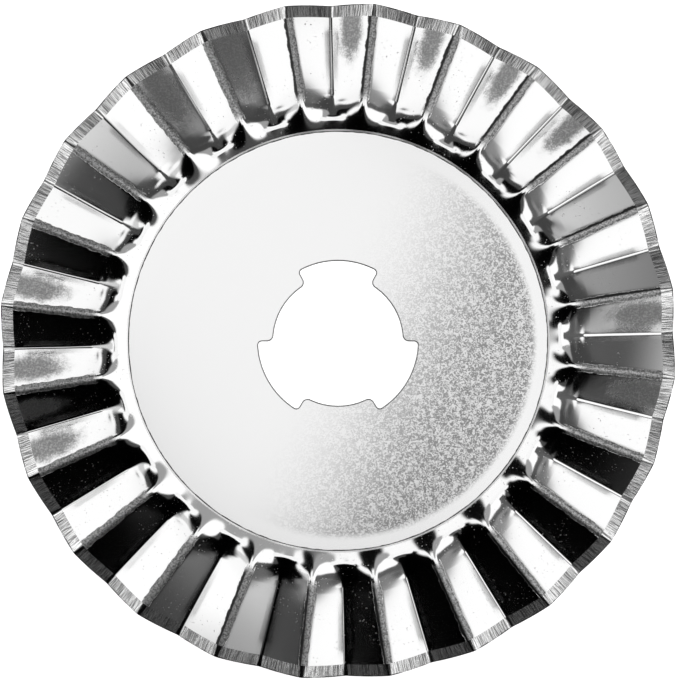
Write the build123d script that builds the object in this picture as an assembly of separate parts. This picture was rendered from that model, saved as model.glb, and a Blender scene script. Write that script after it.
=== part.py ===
from build123d import *
from math import acos, asin, atan2, cos, degrees, radians, sin, sqrt, tan
import os

os.makedirs("parts", exist_ok=True)

# Rotary cutter blade with a zigzag edge: one piece of steel sheet, in millimetres.
# The origin is on the axis, in the middle of the sheet at the flat centre.
# A level is a distance above the middle of the sheet, square to the sheet.

# Whole blade
blade_diameter = 45.0
sheet_thickness = 0.3

# Flat centre and its three-lobed hub hole
flat_diameter = 28.08
hub_diameter = 8.64
lobe_count = 3
lobe_depth = 1.01
lobe_width_angle = 59.0
lobe_angle = 90.0
lobe_corner_radius = 0.25
hub_corner_radius = 0.4

# Flutes: ridges and valleys that run straight towards one point on the axis.
# The drop is how far the valleys' lines lie under the middle of the sheet at the bend.
flute_count = 24
first_valley_angle = 1.3
flute_depth = 1.9
ridge_height = 0.95
valley_drop = 0.213
fold_inner_radius = 0.1

# Drawn stretch between the bend round the flat centre and the flutes: a rounded nose leads
# up to each ridge, and a flat ramp down to each valley. The slope is their mean at the bend.
bend_slope = 15.0
ridge_draw_length = 2.21
nose_reach = 0.7
valley_draw_length = 2.36
valley_taper = 0.25

# Ground rim, where both sides meet in the cutting edge
bevel_width = 0.83

rim_radius = blade_diameter / 2
bevel_radius = rim_radius - bevel_width
flat_radius = flat_diameter / 2
ridge_start_radius = flat_radius + ridge_draw_length
valley_start_radius = flat_radius + valley_draw_length
valley_tip_radius = valley_start_radius - valley_taper
pitch = 360 / flute_count
half_pitch = pitch / 2
half_sheet = sheet_thickness / 2
fold_mid_radius = fold_inner_radius + half_sheet


def polar(radius, angle, height):
    """Point at a radius, an angle in degrees and a height."""
    return Vector(radius * cos(radians(angle)), radius * sin(radians(angle)), height)


def from_axis(point):
    """Distance of a point from the axis."""
    return sqrt(point.X**2 + point.Y**2)


def angle_of(point):
    """Angle of a point round the axis, in degrees."""
    return degrees(atan2(point.Y, point.X))


def mirrored(point, angle):
    """Same point on the other side of the upright plane through the axis at an angle."""
    return polar(from_axis(point), 2 * angle - angle_of(point), point.Z)


# Fold lines, and the flat facet from the valley at angle 0 up to the ridge beside it
valley_slope = (ridge_height - flute_depth + valley_drop) / (rim_radius - flat_radius)
fold_apex_height = -valley_drop - valley_slope * flat_radius
ridge_slope = (ridge_height - fold_apex_height) / rim_radius
valley_way = polar(1, 0, valley_slope).normalized()
ridge_way = polar(1, half_pitch, ridge_slope).normalized()
facet_normal = valley_way.cross(ridge_way).normalized()


def facet_height(place, level):
    """Height of the facet's plane over a place, at a level."""
    tilt = facet_normal.X * place.X + facet_normal.Y * place.Y
    return fold_apex_height + (level - tilt) / facet_normal.Z


class Fold:
    """A ridge or a valley, as the angle, slope and direction of its line."""

    def __init__(self, angle, slope, way, side, start_radius):
        self.angle = angle
        self.slope = slope
        self.way = way
        self.side = side
        self.start_radius = start_radius
        self.turn = asin(abs(facet_normal.dot(polar(1, angle + 90, 0))))
        self.into_facet = facet_normal.cross(way).normalized() * side

    def crest(self, radius, level):
        """Point at a radius where the facets on both sides would meet without a round."""
        height = fold_apex_height + self.slope * radius + level / facet_normal.Z
        return polar(radius, self.angle, height)

    def round_ends(self, radius, level):
        """Where the round begins in the facet at a radius, and the crest above that place."""
        reach = self.into_facet * (fold_mid_radius - self.side * level) * tan(self.turn)
        near = self.crest(radius, level) + reach
        flat_part = self.way.X**2 + self.way.Y**2
        along = (near.X * self.way.X + near.Y * self.way.Y) / flat_part
        excess = (near.X**2 + near.Y**2 - radius**2) / flat_part
        start = near + self.way * (sqrt(along**2 - excess) - along)
        return start, start - reach

    def weight(self, ends):
        """Weight of the crest that makes the curve across the fold a circle's arc."""
        start, crest = ends
        return (start - mirrored(start, self.angle)).length / (start - crest).length / 2

    def arc(self, ends):
        """Arc across the fold, from facet to facet."""
        start, crest = ends
        end = mirrored(start, self.angle)
        pull = self.weight(ends)
        middle = (start + end + crest * 2 * pull) / (2 + 2 * pull)
        return Edge.make_three_point_arc(end, middle, start)

    def row(self, ends):
        """Control points of the curve across the fold."""
        start, crest = ends
        return [mirrored(start, self.angle), crest, start]


valley = Fold(0, valley_slope, valley_way, 1, valley_start_radius)
ridge = Fold(half_pitch, ridge_slope, ridge_way, -1, ridge_start_radius)


def bend_radius(level):
    """Radius of the crisp bend round the flat centre, on the sheet's mitre."""
    return flat_radius - level * tan(radians(bend_slope) / 2)


def bend_corner(level):
    """Point where the facet's plane meets the bend, between a ramp and a nose."""
    flat_part = sqrt(facet_normal.X**2 + facet_normal.Y**2)
    reach = (fold_apex_height - level) * facet_normal.Z + level
    angle = angle_of(facet_normal) + degrees(acos(reach / (bend_radius(level) * flat_part)))
    return polar(bend_radius(level), angle, level)


def ridge_nose(level):
    """Rounded nose, from the bend up to where the ridge begins."""
    corner = bend_corner(level)
    half_angle = radians(half_pitch - angle_of(corner))
    tangents = polar(bend_radius(level) / cos(half_angle), half_pitch, level)
    start, crest = ridge.round_ends(ridge.start_radius, level)
    share = nose_reach / (ridge.start_radius - bend_radius(level))
    middle = start + (corner - start) * share
    middle_crest = ridge.crest(ridge.start_radius - nose_reach, level)
    rows = [ridge.row((corner, tangents)), ridge.row((middle, middle_crest)), ridge.row((start, crest))]
    pulls = [cos(half_angle), ridge.weight((start, crest)), ridge.weight((start, crest))]
    return Face.make_bezier_surface(rows, [[1, pull, 1] for pull in pulls])


def valley_ramp(level):
    """Flat ramp from the bend, which is straight here, down to the tip of the valley."""
    corner = bend_corner(level)
    corners = [corner, valley.crest(valley_tip_radius, level), mirrored(corner, valley.angle)]
    return Face(Wire.make_polygon(corners))


def valley_tip(level):
    """Pointed start of the valley's round."""
    ends = valley.round_ends(valley.start_radius, level)
    tip = valley.crest(valley_tip_radius, level)
    return Face.make_bezier_surface([valley.row(ends), [tip] * 3], [[1, valley.weight(ends), 1]] * 2)


def fold_round(fold, level):
    """Round along a fold, from where it begins out to the bevel."""
    start = fold.round_ends(fold.start_radius, level)
    end = fold.round_ends(bevel_radius, level)
    return Face.extrude(fold.arc(start), end[0] - start[0])


def facet_arc(radius, level):
    """Edge across the facet at a radius from the axis."""
    start = valley.round_ends(radius, level)[0]
    end = ridge.round_ends(radius, level)[0]
    half_angle = (angle_of(end) - angle_of(start)) / 2
    corner = polar(radius / cos(radians(half_angle)), angle_of(start) + half_angle, 0)
    corner.Z = facet_height(corner, level)
    return Edge.make_bezier(start, corner, end, weights=[1, cos(radians(half_angle)), 1])


def facet_faces(level):
    """The flat facets on both sides of a valley."""
    outer = facet_arc(bevel_radius, level)
    valley_start = valley.round_ends(valley.start_radius, level)[0]
    ridge_start = ridge.round_ends(ridge.start_radius, level)[0]
    tip = valley.crest(valley_tip_radius, level)
    corners = [outer @ 1, ridge_start, bend_corner(level), tip, valley_start, outer @ 0]
    sides = [Edge.make_line(*ends) for ends in zip(corners, corners[1:])]
    facet = Face(Wire([outer] + sides))
    return [facet, facet.mirror(Plane.XZ)]


def bevel_faces(level):
    """Ground faces of one flute, from the bevel's inner line out to the cutting edge."""
    facet = Face.make_surface_from_curves(facet_arc(bevel_radius, level), facet_arc(rim_radius, 0))
    faces = [facet, facet.mirror(Plane.XZ)]
    for fold in (valley, ridge):
        inner = fold.arc(fold.round_ends(bevel_radius, level))
        edge = fold.arc(fold.round_ends(rim_radius, 0))
        faces.append(Face.make_surface_from_curves(inner, edge))
    return faces


def centre_face(level):
    """Flat face inside the bend, whose outline is straight at the ramps and round at the noses."""
    corner = bend_corner(level)
    top = polar(bend_radius(level), ridge.angle, level)
    ramp_side = Edge.make_line(mirrored(corner, valley.angle), corner)
    nose_side = Edge.make_three_point_arc(corner, top, mirrored(corner, ridge.angle))
    outline = []
    for number in range(flute_count):
        outline += [side.rotate(Axis.Z, number * pitch) for side in (ramp_side, nose_side)]
    return Face(Wire(outline))


def fluted_sheet():
    """The closed sheet, without the hub hole."""
    faces = []
    one_flute = []
    for level in (half_sheet, -half_sheet):
        faces.append(centre_face(level))
        one_flute += [fold_round(valley, level), fold_round(ridge, level)]
        one_flute += [ridge_nose(level), valley_ramp(level), valley_tip(level)]
        one_flute += facet_faces(level) + bevel_faces(level)
    for number in range(flute_count):
        faces += [face.rotate(Axis.Z, number * pitch) for face in one_flute]
    return Solid(Shell(faces)).rotate(Axis.Z, first_valley_angle)


def hub_hole():
    """Cutter for the hub hole: a round hole with wider lobes and rounded steps."""
    hub_radius = hub_diameter / 2
    lobe_radius = hub_radius + lobe_depth
    step_middle = (hub_radius + lobe_radius) / 2
    half_lobe = radians(lobe_width_angle / 2)
    lobe_corner = Vector(cos(half_lobe), sin(half_lobe)) * 2 * lobe_radius
    wedge = Polyline((0, 0), lobe_corner, (lobe_corner.X, -lobe_corner.Y), (0, 0))
    lobe = Circle(lobe_radius) & make_face(wedge)
    outline = Circle(hub_radius)
    for number in range(lobe_count):
        outline += Rot(Z=lobe_angle + number * 360 / lobe_count) * lobe
    outer = [corner for corner in outline.vertices() if from_axis(corner) > step_middle]
    outline = fillet(outer, lobe_corner_radius)
    inner = [corner for corner in outline.vertices() if from_axis(corner) < step_middle]
    outline = fillet(inner, hub_corner_radius)
    return extrude(outline, sheet_thickness, both=True)


blade = fluted_sheet() - hub_hole()
export_step(blade, "parts/blade.step")
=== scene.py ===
from functools import cache
from math import atan2, cos, hypot, pi, radians, sin, sqrt, tan

import bmesh
import bpy
from mathutils import Matrix, Vector


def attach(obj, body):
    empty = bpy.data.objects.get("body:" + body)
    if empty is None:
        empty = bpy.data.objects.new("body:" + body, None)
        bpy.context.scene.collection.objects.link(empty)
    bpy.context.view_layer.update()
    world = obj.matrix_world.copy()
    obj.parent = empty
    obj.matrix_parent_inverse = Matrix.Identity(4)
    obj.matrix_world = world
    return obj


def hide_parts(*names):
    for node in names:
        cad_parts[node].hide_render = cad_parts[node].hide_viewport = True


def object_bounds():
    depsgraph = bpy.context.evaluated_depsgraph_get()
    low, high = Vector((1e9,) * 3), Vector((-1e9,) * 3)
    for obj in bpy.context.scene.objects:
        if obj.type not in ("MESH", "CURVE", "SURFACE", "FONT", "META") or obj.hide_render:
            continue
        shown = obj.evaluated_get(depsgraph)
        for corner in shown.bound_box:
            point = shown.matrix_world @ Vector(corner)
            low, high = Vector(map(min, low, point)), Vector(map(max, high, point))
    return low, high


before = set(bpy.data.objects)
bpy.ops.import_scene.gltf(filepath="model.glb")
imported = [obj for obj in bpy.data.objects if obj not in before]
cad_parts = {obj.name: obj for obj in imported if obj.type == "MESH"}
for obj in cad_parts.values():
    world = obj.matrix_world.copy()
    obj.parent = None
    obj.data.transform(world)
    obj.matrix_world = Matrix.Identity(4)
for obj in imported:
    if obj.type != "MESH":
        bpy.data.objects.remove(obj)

cad_low, cad_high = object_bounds()


# The camera hangs straight above the blade, about 150 mm up, with one lobe of the hub hole
# at the top of the picture. Its lens is long, so the blade nearly fills the frame.
mm = 0.001
rim_radius = 22.5 * mm
rim_in_picture = 339.2
picture_width = 679
axis_offset = Vector((1.5, 0.4)) * rim_radius / rim_in_picture
camera_height = 152 * mm
ridge_top = 1.0 * mm

lens = bpy.data.cameras.new("camera")
lens.sensor_fit = "HORIZONTAL"
rim_on_sensor = lens.sensor_width * rim_in_picture / picture_width
lens.lens = rim_on_sensor * (camera_height - ridge_top) / rim_radius
lens.clip_start = 1 * mm
camera = bpy.data.objects.new("camera", lens)
camera.location = (axis_offset.x, axis_offset.y, camera_height)
bpy.context.collection.objects.link(camera)
bpy.context.scene.camera = camera


# The blade is one disc of 0.3 mm hardened steel sheet. A press draws its outer ring into
# 24 straight flutes that start at a crisp circle round the flat centre, and the rim is
# ground from both sides to a cutting edge.
sheet_thickness = 0.3 * mm
flat_radius = 14.04 * mm
bevel_radius = 21.67 * mm
flute_count = 24
first_valley = radians(1.3)

# The lines of the folds start at one point on the axis, and fall this far by the rim.
fold_apex = 1.01 * mm
valley_fall = 1.96 * mm
ridge_fall = 0.06 * mm

# The folds have crisp rounds, which open out to soft ones from the outer of two radii inwards.
valley_round = 0.38 * mm
ridge_round = 0.25 * mm
soft_round = 0.8 * mm
valley_opening = (14.5 * mm, 15.6 * mm)
ridge_opening = (14.4 * mm, 16.0 * mm)

# A ramp rises from the bend. Noses lead up to the ridges and drops down to the valleys, and
# the flutes are a little shallower there, because the sheet isn't pressed home.
bend_slope = tan(radians(18.5))
nose_reach = (14.05 * mm, 15.95 * mm)
nose_power = 1.45
drop_reach = (14.85 * mm, 16.4 * mm)
draw_round = 0.09 * mm
slack = 0.1
slack_reach = (15.8 * mm, 17.8 * mm)

# Columns of faces that divide a pitch, and rows of faces that divide the flutes' length.
fold_columns = 4
facet_columns = 8
half_columns = 2 * fold_columns + facet_columns
columns = 2 * half_columns
straight_columns_radius = 16.6 * mm
dense_rows_radius = 16.9 * mm
drawn_rows = 30
facet_rows = 6
bevel_rows = 2

half_sheet = sheet_thickness / 2
half_pitch = pi / flute_count
valley_way = Vector((1, 0, -valley_fall / rim_radius))
ridge_way = Vector((cos(half_pitch), sin(half_pitch), -ridge_fall / rim_radius))
facet_normal = valley_way.cross(ridge_way).normalized()
steepness = atan2(hypot(facet_normal.x, facet_normal.y), facet_normal.z)


def even_share(value, start, end):
    """Share that grows evenly from 0 at start to 1 at end."""
    return min(1, max(0, (value - start) / (end - start)))


def smooth_share(value, start, end):
    """Share that grows smoothly from 0 at start to 1 at end."""
    part = even_share(value, start, end)
    return part * part * (3 - 2 * part)


def round_at(radius, crisp, opening):
    """Radius of a fold's round, which opens out towards the flat centre."""
    return crisp + (soft_round - crisp) * (1 - smooth_share(radius, *opening))


def rounded_v(across, round_radius):
    """Height of a rounded V over its own sharp bottom, at a distance from its middle."""
    if abs(across) >= round_radius * sin(steepness):
        return abs(across) * tan(steepness)
    return round_radius / cos(steepness) - sqrt(round_radius**2 - across**2)


def facet_height(radius, swing):
    """Height of the facets' planes, which meet in sharp lines."""
    place = Vector((cos(swing), sin(swing), 0)) * radius
    return fold_apex - facet_normal.dot(place) / facet_normal.z


def flute_height(radius, swing):
    """Height of the flutes at an angle of 0 to half a pitch from a valley."""
    across_valley = radius * sin(swing)
    across_ridge = radius * sin(half_pitch - swing)
    over_valley = rounded_v(across_valley, round_at(radius, valley_round, valley_opening))
    under_ridge = rounded_v(across_ridge, round_at(radius, ridge_round, ridge_opening))
    height = facet_height(radius, swing) + over_valley - under_ridge
    height += (across_ridge - across_valley) * tan(steepness)
    middle = facet_height(radius, half_pitch / 2)
    return middle + (height - middle) * (1 - slack * (1 - smooth_share(radius, *slack_reach)))


def valley_share(swing):
    """Share of the valley's form at an angle from its middle, where the ridge has the rest."""
    return ((1 + cos(pi * swing / half_pitch)) / 2) ** 2


def drawn_height(radius, swing):
    """Height of the ramp from the bend, with a nose up to each ridge and a drop to each valley."""
    risen = even_share(radius, *nose_reach) ** nose_power
    ramp = (radius - flat_radius) * bend_slope
    at_ridge = ramp * (1 - risen) + flute_height(radius, swing) * risen
    drop_start, drop_end = drop_reach
    crest = (drop_start - flat_radius) * bend_slope
    fallen = even_share(radius, *drop_reach)
    bottom = flute_height(max(radius, drop_end), swing)
    at_valley = min(ramp, crest) * (1 - fallen) + bottom * fallen
    return at_ridge + (at_valley - at_ridge) * valley_share(swing)


def pressed_height(radius, swing):
    """Height of the middle of the sheet, with the noses' corners rounded off."""
    reach = min(draw_round * (1 - valley_share(swing)), max(0, (radius - flat_radius) / 2))
    either_side = drawn_height(radius - reach, swing) + drawn_height(radius + reach, swing)
    return (either_side + 2 * drawn_height(radius, swing)) / 4


def column_swing(column, radius):
    """Angle of a column from the nearest valley's middle, and the side on which it lies."""
    even = half_pitch * fold_columns / half_columns
    crisp = smooth_share(radius, flat_radius, straight_columns_radius)
    arcs = [size * sin(steepness) / radius for size in (valley_round, ridge_round)]
    at_valley, at_ridge = (even + (arc - even) * crisp for arc in arcs)
    away = min(column, columns - column)
    if away <= fold_columns:
        swing = at_valley * away / fold_columns
    elif away <= fold_columns + facet_columns:
        facet = half_pitch - at_valley - at_ridge
        swing = at_valley + facet * (away - fold_columns) / facet_columns
    else:
        swing = half_pitch - at_ridge * (half_columns - away) / fold_columns
    return swing, 1 if column <= half_columns else -1


@cache
def pressed_place(radius, level, column):
    """Pressed point seen along its column, and the column's angle from the nearest valley."""
    swing, side = column_swing(column, radius)
    step = 1e-6
    turn = step / radius
    rise = pressed_height(radius + step, swing) - pressed_height(radius - step, swing)
    tilt = pressed_height(radius, swing + turn) - pressed_height(radius, swing - turn)
    normal = Vector((-rise / (2 * step), -tilt / (2 * step) * side, 1)).normalized()
    middle = Vector((radius, 0, pressed_height(radius, swing)))
    if radius < flat_radius + step:
        middle = Vector((flat_radius - level * bend_slope / 2, 0, 0))
        normal = Vector((0, 0, 1))
    return middle + normal * level, side * swing


def pressed(point):
    """Where a point of the flat blank goes when the ring is pressed into flutes."""
    decimals = 8
    turn = atan2(point.y, point.x) % (2 * pi)
    number, column = divmod(round(turn / (2 * pi) * flute_count * columns), columns)
    radius, level = round(point.xy.length, decimals), round(point.z, decimals)
    place, swing = pressed_place(radius, level, column)
    angle = (number + (column > half_columns)) * 2 * half_pitch + swing
    return Matrix.Rotation(angle + first_valley, 3, "Z") @ place


blade = bmesh.new()
section = [
    (flat_radius, -half_sheet, drawn_rows),
    (dense_rows_radius, -half_sheet, facet_rows),
    (bevel_radius, -half_sheet, bevel_rows),
    (rim_radius, 0, bevel_rows),
    (bevel_radius, half_sheet, facet_rows),
    (dense_rows_radius, half_sheet, drawn_rows),
    (flat_radius, half_sheet, 0),
]
points = []
for (radius, level, rows), (next_radius, next_level, _) in zip(section, section[1:]):
    for row in range(rows):
        along = row / rows
        out, up = (next_radius - radius) * along, (next_level - level) * along
        points.append(blade.verts.new((radius + out, 0, level + up)))
points.append(blade.verts.new((flat_radius, 0, half_sheet)))
for start, end in zip(points, points[1:]):
    blade.edges.new((start, end))
bmesh.ops.spin(
    blade,
    geom=blade.verts[:] + blade.edges[:],
    axis=(0, 0, 1),
    cent=(0, 0, 0),
    angle=2 * pi,
    steps=flute_count * columns,
    use_merge=True,
)

# The hub hole is punched through the flat centre to fit the handle's hub. It is a round hole
# with three wider lobes and rounded corners, and the punch leaves a small rolled lip.
hub_radius = 4.32 * mm
lobe_radius = 5.33 * mm
first_lobe = radians(90)
half_lobe = radians(29.5)
third_turn = 2 * pi / 3
hub_corner = 0.4 * mm
lobe_corner = 0.25 * mm
punched_edge = 0.08 * mm
hub_steps = 10
lobe_steps = 16
touching = 1e-7


def arc_of_points(radius, start, end, steps):
    """Draws an arc of the hole's outline, and gives its two ends."""
    first = blade.verts.new((radius * cos(start), radius * sin(start), -half_sheet))
    arc = bmesh.ops.spin(
        blade, geom=[first], axis=(0, 0, 1), cent=(0, 0, 0), angle=end - start, steps=steps
    )
    return first, arc["geom_last"][0]


ring_points = set(blade.verts)
ends = []
for number in range(3):
    lobe = first_lobe + number * third_turn
    lobe_start, lobe_end, next_lobe = lobe - half_lobe, lobe + half_lobe, lobe + third_turn
    ends += arc_of_points(lobe_radius, lobe_start, lobe_end, lobe_steps)
    ends += arc_of_points(hub_radius, lobe_end, next_lobe - half_lobe, hub_steps)
for start, end in zip(ends[1::2], ends[2::2] + ends[:1]):
    blade.edges.new((start, end))
for radius, corner in ((lobe_radius, lobe_corner), (hub_radius, hub_corner)):
    bmesh.ops.bevel(
        blade,
        geom=[
            point
            for point in ends
            if point.is_valid and abs(point.co.xy.length - radius) < touching
        ],
        offset=corner,
        segments=5,
        profile=0.5,
        affect="VERTICES",
        material=-1,
    )
outline = [
    edge for edge in blade.edges if not edge.link_faces and edge.verts[0] not in ring_points
]
extruded = bmesh.ops.extrude_edge_only(blade, edges=outline)["geom"]
upper = [each for each in extruded if isinstance(each, bmesh.types.BMVert)]
bmesh.ops.translate(blade, verts=upper, vec=(0, 0, sheet_thickness))
for level in (-half_sheet, half_sheet):
    border = [
        edge
        for edge in blade.edges
        if len(edge.link_faces) == 1
        and all(abs(end.co.z - level) < touching for end in edge.verts)
    ]
    bmesh.ops.triangle_fill(blade, edges=border, use_beauty=True, normal=(0, 0, 1))
bmesh.ops.recalc_face_normals(blade, faces=blade.faces)

# The blade has four finishes, one for each way in which its surface was worked: rolled,
# pressed, ground and punched. They meet in sharp lines, and so do the two bevels at the rim.
satin, fluted, ground, punched = range(4)
upright = 0.1
flat_reach = flat_radius * cos(half_pitch / columns)
for face in blade.faces:
    face.smooth = True
    radius = face.calc_center_median().xy.length
    if abs(face.normal.z) < upright:
        face.material_index = punched
    elif radius > bevel_radius:
        face.material_index = ground
    elif radius > flat_reach:
        face.material_index = fluted


def finishes_beside(edge):
    """Finishes of the faces that meet in an edge."""
    return {face.material_index for face in edge.link_faces}


for edge in blade.edges:
    at_rim = all(abs(end.co.z) <= touching for end in edge.verts)
    edge.smooth = len(finishes_beside(edge)) == 1 and not at_rim
bmesh.ops.bevel(
    blade,
    geom=[edge for edge in blade.edges if finishes_beside(edge) == {satin, punched}],
    offset=punched_edge,
    segments=2,
    profile=0.5,
    affect="EDGES",
    material=punched,
)
nearly = 0.9999
for point in blade.verts:
    if point.co.xy.length > flat_radius * nearly:
        point.co = pressed(point.co)
bmesh.ops.recalc_face_normals(blade, faces=blade.faces)

blade_mesh = bpy.data.meshes.new("blade_sheet")
blade.to_mesh(blade_mesh)
blade.free()
blade_sheet = bpy.data.objects.new("blade_sheet", blade_mesh)
bpy.context.collection.objects.link(blade_sheet)
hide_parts("blade")
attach(blade_sheet, "root")
even_facets = blade_sheet.modifiers.new("even_facets", "WEIGHTED_NORMAL")
even_facets.keep_sharp = True
even_facets.weight = 100


# The flat centre keeps the satin grain of the rolled sheet, fine worm-like pits that fade
# out beside the bend, where the press ring has burnished it. Towards the upper left the pits
# fade into a plain lighter tone, which is a painted highlight, and the thin dark line along
# the bend is painted shade.
pit_size = 0.1 * mm
pit_depth = 0.006 * mm
highlight_fade_from, highlight_fade_to = -3 * mm, 13 * mm
burnished_from, burnished_to = 12.7 * mm, 13.5 * mm
bend_shade_width = 0.11 * mm
bend_shade_least = 0.08 * mm
rag_size = 0.3 * mm


def steel(name):
    """New metal and the nodes that its details are joined to."""
    material = bpy.data.materials.new(name)
    material.use_nodes = True
    tree = material.node_tree
    shader = tree.nodes["Principled BSDF"]
    shader.inputs["Metallic"].default_value = 1
    blade_mesh.materials.append(material)
    return tree, shader


def set_or_join(tree, socket, value):
    """Gives a socket a number, or joins another node's output to it."""
    if isinstance(value, bpy.types.NodeSocket):
        tree.links.new(value, socket)
    else:
        socket.default_value = value


def calculate(tree, operation, *values):
    """Math node, whose values are numbers or other nodes' outputs."""
    node = tree.nodes.new("ShaderNodeMath")
    node.operation = operation
    for socket, value in zip(node.inputs, values):
        set_or_join(tree, socket, value)
    return node.outputs[0]


def own_place(tree):
    """The object's own coordinates."""
    return tree.nodes.new("ShaderNodeTexCoord").outputs["Object"]


def apart(tree, where):
    """X, Y and Z of a place."""
    node = tree.nodes.new("ShaderNodeSeparateXYZ")
    tree.links.new(where, node.inputs[0])
    return tuple(node.outputs)


def from_axis(tree, x, y):
    """Distance from the axis."""
    flat = tree.nodes.new("ShaderNodeCombineXYZ")
    tree.links.new(x, flat.inputs[0])
    tree.links.new(y, flat.inputs[1])
    length = tree.nodes.new("ShaderNodeVectorMath")
    length.operation = "LENGTH"
    tree.links.new(flat.outputs[0], length.inputs[0])
    return length.outputs["Value"]


def fade(tree, value, start, end, low=0.0, high=1.0):
    """Low before start and high past end, smooth between them."""
    node = tree.nodes.new("ShaderNodeMapRange")
    node.interpolation_type = "SMOOTHSTEP"
    for name, limit in (
        ("Value", value),
        ("From Min", start),
        ("From Max", end),
        ("To Min", low),
        ("To Max", high),
    ):
        set_or_join(tree, node.inputs[name], limit)
    return node.outputs["Result"]


def blend(tree, amount, first, second):
    """The first value where the amount is 0, and the second where it is 1."""
    return fade(tree, amount, 0.0, 1.0, first, second)


def grain(tree, where, size, detail=2.0, distortion=0.0):
    """Noise whose blobs are about as wide as the size."""
    node = tree.nodes.new("ShaderNodeTexNoise")
    tree.links.new(where, node.inputs["Vector"])
    node.inputs["Scale"].default_value = 0.5 / size
    node.inputs["Detail"].default_value = detail
    node.inputs["Distortion"].default_value = distortion
    return node.outputs["Fac"]


def bumps(tree, shader, height, depth):
    """Joins a pattern of heights from 0 to 1 to the shader as a bump."""
    node = tree.nodes.new("ShaderNodeBump")
    node.inputs["Distance"].default_value = depth
    node.inputs["Strength"].default_value = 1
    tree.links.new(height, node.inputs["Height"])
    tree.links.new(node.outputs[0], shader.inputs["Normal"])


tree, shader = steel("satin_centre")
where = own_place(tree)
x, y = apart(tree, where)[:2]
radius = from_axis(tree, x, y)
to_lower_right = calculate(tree, "SUBTRACT", x, calculate(tree, "MULTIPLY", y, 0.45))
worms = grain(tree, where, pit_size, detail=0.5, distortion=1.6)
unburnished = fade(tree, radius, burnished_from, burnished_to, low=1.0, high=0.0)
# Towards the upper left the pits fade out into the plain lighter tone, which is a painted
# highlight.
away_from_painted_highlight = fade(tree, to_lower_right, highlight_fade_from, highlight_fade_to, low=0.06)
pitted_outside_highlight = calculate(tree, "MULTIPLY", away_from_painted_highlight, unburnished)
pit_tone = fade(tree, worms, 0.36, 0.62, low=0.68, high=0.24)
tone = blend(tree, pitted_outside_highlight, 0.8, pit_tone)
ragged = grain(tree, where, rag_size)
# A thin dark line of painted shade along the bend, with a ragged inner edge.
bend_shade_start = fade(
    tree,
    ragged,
    0.35,
    0.65,
    low=flat_radius - bend_shade_width,
    high=flat_radius - bend_shade_least,
)
bend_shade_line = calculate(tree, "GREATER_THAN", radius, bend_shade_start)
tree.links.new(blend(tree, bend_shade_line, tone, 0.06), shader.inputs["Base Color"])
tree.links.new(blend(tree, pitted_outside_highlight, 0.17, 0.25), shader.inputs["Roughness"])
bumps(tree, shader, calculate(tree, "MULTIPLY", worms, pitted_outside_highlight), pit_depth)


# The pressed facets are as smooth as the press dies, with small specks of dirt and dents, and
# rubbed patches where the cloth and the guard touch them. The ridges are matte and grainy,
# because the sheet was stretched over the die there. One side of each ridge strip is darker,
# which is painted shade, and a thin bright line just outside the bend is a painted highlight.
strip_least = 0.24 * mm
strip_most = 0.33 * mm
strip_edge = 0.03 * mm
strip_from, strip_to = 15.7 * mm, 16.8 * mm
shade_from, shade_to = 0.06 * mm, 0.17 * mm
peel_size = 0.06 * mm
peel_depth = 0.03 * mm
blot_size = 0.3 * mm
speck_size = 0.075 * mm
dusty_size = 2.2 * mm
bend_highlight_from, bend_highlight_to = flat_radius + 0.06 * mm, flat_radius + 0.1 * mm

tree, shader = steel("pressed_flutes")
where = own_place(tree)
x, y = apart(tree, where)[:2]
radius = from_axis(tree, x, y)
angle = calculate(tree, "ARCTAN2", y, x)


def across_from(beyond_valley):
    """Distance across the flutes from the nearest line at an angle beyond a valley."""
    turned = calculate(tree, "SUBTRACT", angle, first_valley + beyond_valley)
    wrapped = calculate(tree, "WRAP", turned, half_pitch, -half_pitch)
    return calculate(tree, "MULTIPLY", wrapped, radius)


def round_window(start, end):
    """1 between two angles round the blade, in degrees, and 0 elsewhere."""
    soft_edge = radians(4)
    middle = radians((start + end) / 2)
    turned = calculate(tree, "WRAP", calculate(tree, "SUBTRACT", angle, middle), pi, -pi)
    away = calculate(tree, "ABSOLUTE", turned)
    half = radians((end - start) / 2)
    return fade(tree, away, half, half + soft_edge, low=1.0, high=0.0)


def patch_of_wear(side, start, end, inner, outer, half_width):
    """Rounded patch on each facet of one side, between two angles round the blade."""
    facet_middle = half_pitch + side * half_pitch / 2
    across = calculate(tree, "DIVIDE", across_from(facet_middle), half_width)
    from_outer = calculate(tree, "SUBTRACT", radius, outer)
    along = calculate(tree, "DIVIDE", from_outer, outer - inner)
    squares = [calculate(tree, "MULTIPLY", each, each) for each in (across, along)]
    reach = calculate(tree, "SQRT", calculate(tree, "ADD", *squares))
    ragged_reach = calculate(tree, "ADD", reach, calculate(tree, "MULTIPLY", blots, 0.5))
    inside = fade(tree, ragged_reach, 0.6, 1.35, low=1.0, high=0.0)
    return calculate(tree, "MULTIPLY", inside, round_window(start, end))


blots = grain(tree, where, blot_size, detail=3.0)
from_ridge = across_from(half_pitch)
beside_ridge = calculate(tree, "ABSOLUTE", from_ridge)
strip_width = fade(tree, blots, 0.3, 0.7, low=strip_least, high=strip_most)
past_strip = calculate(tree, "SUBTRACT", beside_ridge, strip_width)
strip = fade(tree, past_strip, -strip_edge, strip_edge, low=1.0, high=0.0)
matte = calculate(tree, "MULTIPLY", strip, fade(tree, radius, strip_from, strip_to))
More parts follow.
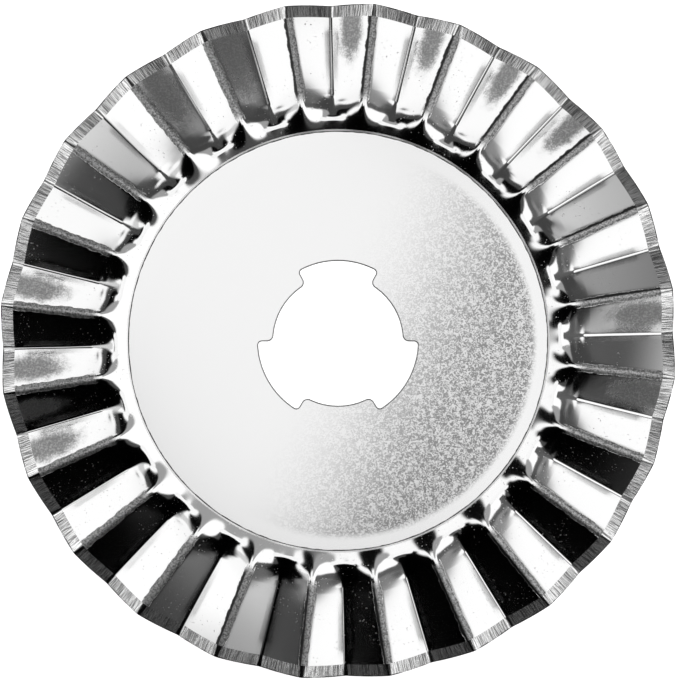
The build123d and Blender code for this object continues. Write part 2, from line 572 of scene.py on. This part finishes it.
# One side of each ridge strip is painted dark as shade: the far side on ridges from 0 to 100
# degrees round the blade, the near side from 236 to 320 degrees.
far_side_shade = fade(tree, from_ridge, shade_from, shade_to)
far_side_shade = calculate(tree, "MULTIPLY", far_side_shade, round_window(0, 100))
near_side_shade = fade(tree, from_ridge, -shade_to, -shade_from, low=1.0, high=0.0)
near_side_shade = calculate(tree, "MULTIPLY", near_side_shade, round_window(236, 320))
painted_side_shade = calculate(tree, "MULTIPLY", matte, calculate(tree, "MAXIMUM", far_side_shade, near_side_shade))
peel = grain(tree, where, peel_size, detail=3.0)
rubbed = patch_of_wear(1, 40, 90, 18.0 * mm, 20.9 * mm, 0.95 * mm)
for place in (
    (-1, 345, 366, 17.5 * mm, 20.5 * mm, 1.3 * mm),
    (-1, 105, 128, 16.8 * mm, 20.5 * mm, 1.3 * mm),
    (-1, 166, 206, 17.4 * mm, 20.6 * mm, 1.1 * mm),
    (1, 189, 197, 17.8 * mm, 21.2 * mm, 0.9 * mm),
):
    rubbed = calculate(tree, "MAXIMUM", rubbed, patch_of_wear(*place))
crumbs = fade(tree, grain(tree, where, speck_size, detail=1.0), 0.69, 0.73)
dusty = fade(tree, grain(tree, where, dusty_size), 0.4, 0.62)
specks = calculate(tree, "MULTIPLY", crumbs, dusty)
scuffs = fade(tree, peel, 0.35, 0.6, low=0.6, high=0.9)
scuffed = calculate(tree, "MULTIPLY", rubbed, scuffs)
strip_tone = fade(tree, peel, 0.35, 0.65, low=0.2, high=0.55)
# The shaded side of each ridge strip is painted almost black.
strip_tone = blend(tree, painted_side_shade, strip_tone, 0.06)
tone = blend(tree, scuffed, 0.82, 0.33)
tone = blend(tree, matte, tone, strip_tone)
# A thin bright line just outside the bend is a painted highlight, and it is made rough too.
painted_bend_highlight = fade(tree, radius, bend_highlight_from, bend_highlight_to, low=1.0, high=0.0)
tree.links.new(blend(tree, painted_bend_highlight, tone, 1.0), shader.inputs["Base Color"])
# The roughness follows the matte strips, specks and rubbed patches, and the painted bend
# highlight.
wear_and_bend_highlight = calculate(tree, "MAXIMUM", matte, specks)
for roughening in (scuffed, painted_bend_highlight):
    wear_and_bend_highlight = calculate(tree, "MAXIMUM", wear_and_bend_highlight, roughening)
tree.links.new(blend(tree, wear_and_bend_highlight, 0.1, 0.42), shader.inputs["Roughness"])
grainy = calculate(tree, "MAXIMUM", matte, calculate(tree, "MULTIPLY", rubbed, 0.4))
bumps(tree, shader, calculate(tree, "MULTIPLY", peel, grainy), peel_depth)


# The rim is ground from both sides to the cutting edge. The wheel leaves fine streaks across
# it, and a thin dark line along the edge itself is painted shade.
streak_width = 0.045 * mm
streak_stretch = 0.08
streak_depth = 0.012 * mm
edge_shade_length = 0.4 * mm
edge_shade_most = 0.075 * mm
edge_shade_least = 0.01 * mm

tree, shader = steel("ground_bevel")
shader.inputs["Roughness"].default_value = 0.17
x, y = apart(tree, own_place(tree))[:2]
radius = from_axis(tree, x, y)
angle = calculate(tree, "ARCTAN2", y, x)
wheel = tree.nodes.new("ShaderNodeCombineXYZ")
tree.links.new(calculate(tree, "MULTIPLY", angle, rim_radius), wheel.inputs[0])
tree.links.new(calculate(tree, "MULTIPLY", radius, streak_stretch), wheel.inputs[1])
streaks = grain(tree, wheel.outputs[0], streak_width, detail=3.0)
tone = fade(tree, streaks, 0.36, 0.56, low=0.4, high=0.9)
# A thin dark line of painted shade along the cutting edge, of ragged width.
edge_shade_noise = grain(tree, wheel.outputs[0], edge_shade_length)
edge_shade_start = fade(tree, edge_shade_noise, 0.4, 0.6, low=rim_radius - edge_shade_most, high=rim_radius - edge_shade_least)
painted_edge_shade = calculate(tree, "GREATER_THAN", radius, edge_shade_start)
tree.links.new(blend(tree, painted_edge_shade, tone, 0.08), shader.inputs["Base Color"])
bumps(tree, shader, streaks, streak_depth)


# The hub hole's wall is left as the punch tore it, dull and dark, with a small rolled lip.
# It shows from above only as a thin dark line.
torn_size = 0.05 * mm
torn_depth = 0.01 * mm

tree, shader = steel("punched_wall")
shader.inputs["Roughness"].default_value = 0.45
torn = grain(tree, own_place(tree), torn_size, detail=3.0)
tree.links.new(fade(tree, torn, 0.3, 0.7, low=0.2, high=0.4), shader.inputs["Base Color"])
bumps(tree, shader, torn, torn_depth)


# The blade lies on a plain white table inside a round light tent, whose cloth is lit
# white in places and hung with black card in others. The tent isn't part of the blade.
tent_radius = 50 * mm
tent_wall = 60 * mm
tent_top = 85 * mm
roof_radius = 30 * mm
cloth_glow = 1.25
lamp_from, lamp_to = 25 * mm, 29 * mm
lamp_left, lamp_right = -12 * mm, 24 * mm
lamp_level = 83 * mm

tent = bmesh.new()
tent_line = [
    tent.verts.new((radius, 0, level))
    for radius, level in (
        (tent_radius, cad_low.z),
        (tent_radius, tent_wall),
        (roof_radius, tent_top),
        (0, tent_top),
    )
]
for start, end in zip(tent_line, tent_line[1:]):
    tent.edges.new((start, end))
bmesh.ops.spin(
    tent,
    geom=tent.verts[:] + tent.edges[:],
    axis=(0, 0, 1),
    cent=(0, 0, 0),
    angle=2 * pi,
    steps=96,
    use_merge=True,
)
bmesh.ops.remove_doubles(tent, verts=tent.verts, dist=touching)
tent_mesh = bpy.data.meshes.new("light_tent")
tent.to_mesh(tent_mesh)
tent.free()
light_tent = bpy.data.objects.new("light_tent", tent_mesh)
bpy.context.collection.objects.link(light_tent)
light_tent.visible_camera = False

cloth = bpy.data.materials.new("tent_cloth")
cloth.use_nodes = True
tree = cloth.node_tree
tree.nodes.remove(tree.nodes["Principled BSDF"])
x, y, height = apart(tree, own_place(tree))
radius = from_axis(tree, x, y)
angle = calculate(tree, "ARCTAN2", y, x)
turn = calculate(tree, "FRACT", calculate(tree, "DIVIDE", angle, 2 * pi))


def tones_round(stops):
    """Ramp of tones by the angle round the tent, in degrees."""
    node = tree.nodes.new("ShaderNodeValToRGB")
    tree.links.new(turn, node.inputs[0])
    ramp = node.color_ramp
    while len(ramp.elements) < len(stops):
        ramp.elements.new(0.5)
    for element, (at, tone) in zip(ramp.elements, stops):
        element.position = at / 360
        element.color = (tone, tone, tone, 1)
    return node.outputs["Color"]


def between(share_of_second, first, second):
    """Blends two tones, which a Mix node takes in sockets 6 and 7 and gives in socket 2."""
    node = tree.nodes.new("ShaderNodeMix")
    node.data_type = "RGBA"
    tree.links.new(share_of_second, node.inputs[0])
    tree.links.new(first, node.inputs[6])
    tree.links.new(second, node.inputs[7])
    return node.outputs[2]


foot = tones_round([(0, 0.02), (360, 0.02)])
skirt = tones_round([
    (0, 1.0), (25, 0.2), (85, 0.2), (100, 0.5), (150, 0.6), (165, 1.0), (215, 1.0),
    (228, 0.1), (285, 0.1), (300, 1.0), (360, 1.0),
])
wall = tones_round([
    (0, 1.0), (42, 1.0), (53, 0.07), (57, 0.09), (70, 0.28), (83, 0.5), (97, 0.95),
    (190, 1.0), (201, 0.05), (208, 0.05), (216, 0.0), (279, 0.0), (292, 0.06), (307, 0.38),
    (320, 1.0), (360, 1.0),
])
seam = tones_round([
    (0, 0.22), (25, 0.22), (32, 0.1), (45, 0.05), (86, 0.05), (95, 0.95), (190, 0.95),
    (200, 0.0), (300, 0.0), (312, 0.1), (335, 0.12), (350, 0.22), (360, 0.22),
])
middle_wall = tones_round([
    (0, 0.1), (32, 0.08), (45, 0.05), (158, 0.05), (170, 0.6), (188, 0.6), (200, 0.0),
    (300, 0.0), (312, 0.08), (360, 0.1),
])
upper_wall = tones_round([
    (0, 1.0), (40, 1.0), (47, 0.32), (80, 0.32), (88, 0.0), (158, 0.0), (170, 0.95),
    (188, 0.95), (200, 0.0), (280, 0.0), (286, 0.06), (303, 0.06), (312, 1.0), (360, 1.0),
])
roof_slope = tones_round([
    (0, 1.0), (42, 1.0), (48, 0.32), (80, 0.32), (88, 0.95), (172, 0.95), (182, 0.5),
    (190, 0.0), (280, 0.0), (286, 0.06), (304, 0.06), (311, 1.0), (360, 1.0),
])
cloth_tone = foot
for tones, start, end in (
    (skirt, 9.5 * mm, 11 * mm),
    (wall, 13 * mm, 15 * mm),
    (seam, 21 * mm, 23 * mm),
    (middle_wall, 26 * mm, 29 * mm),
    (upper_wall, 41 * mm, 45 * mm),
    (roof_slope, 66 * mm, 74 * mm),
):
    cloth_tone = between(fade(tree, height, start, end), cloth_tone, tones)

lamp_tone = tree.nodes.new("ShaderNodeCombineColor")
left_to_right = fade(tree, x, lamp_left, lamp_right, low=0.92, high=0.9)
for socket in lamp_tone.inputs:
    tree.links.new(left_to_right, socket)
inside_lamp = fade(tree, radius, lamp_from, lamp_to, low=1.0, high=0.0)
on_roof = fade(tree, height, lamp_level, tent_top)
in_lamp = calculate(tree, "MULTIPLY", inside_lamp, on_roof)
cloth_tone = between(in_lamp, cloth_tone, lamp_tone.outputs[0])
glow = tree.nodes.new("ShaderNodeEmission")
glow.inputs["Strength"].default_value = cloth_glow
tree.links.new(cloth_tone, glow.inputs["Color"])
tree.links.new(glow.outputs[0], tree.nodes["Material Output"].inputs["Surface"])
tent_mesh.materials.append(cloth)


# The table top is a wide sheet of white paper under the blade. It glows to the camera and
# in reflections, so that the background is white without more light on the blade.
table_reach = 1.5
paper_white = 0.9
paper_glow = 0.8

table = bmesh.new()
bmesh.ops.create_grid(table, x_segments=1, y_segments=1, size=table_reach)
bmesh.ops.translate(table, verts=table.verts, vec=(0, 0, cad_low.z))
table_mesh = bpy.data.meshes.new("table_top")
table.to_mesh(table_mesh)
table.free()
table_top = bpy.data.objects.new("table_top", table_mesh)
bpy.context.collection.objects.link(table_top)

paper = bpy.data.materials.new("white_paper")
paper.use_nodes = True
tree = paper.node_tree
shader = tree.nodes["Principled BSDF"]
shader.inputs["Base Color"].default_value = (paper_white, paper_white, paper_white, 1)
shader.inputs["Roughness"].default_value = 0.9
shader.inputs["Specular IOR Level"].default_value = 0
path = tree.nodes.new("ShaderNodeLightPath")
seen = calculate(tree, "ADD", path.outputs["Is Camera Ray"], path.outputs["Is Glossy Ray"])
seen = calculate(tree, "ADD", seen, path.outputs["Is Transmission Ray"])
glowing = calculate(tree, "MULTIPLY", seen, paper_glow)
shader.inputs["Emission Color"].default_value = (1, 1, 1, 1)
tree.links.new(glowing, shader.inputs["Emission Strength"])
table_mesh.materials.append(paper)


# Plain even daylight fills the room round the tent, and shows past the table's edge.
# The picture is shown in its plain tones, without a film curve.
room_light = 0.9

world = bpy.data.worlds.new("world")
world.use_nodes = True
world.node_tree.nodes["Background"].inputs["Color"].default_value = (1, 1, 1, 1)
world.node_tree.nodes["Background"].inputs["Strength"].default_value = room_light
bpy.context.scene.world = world
bpy.context.scene.view_settings.view_transform = "Standard"
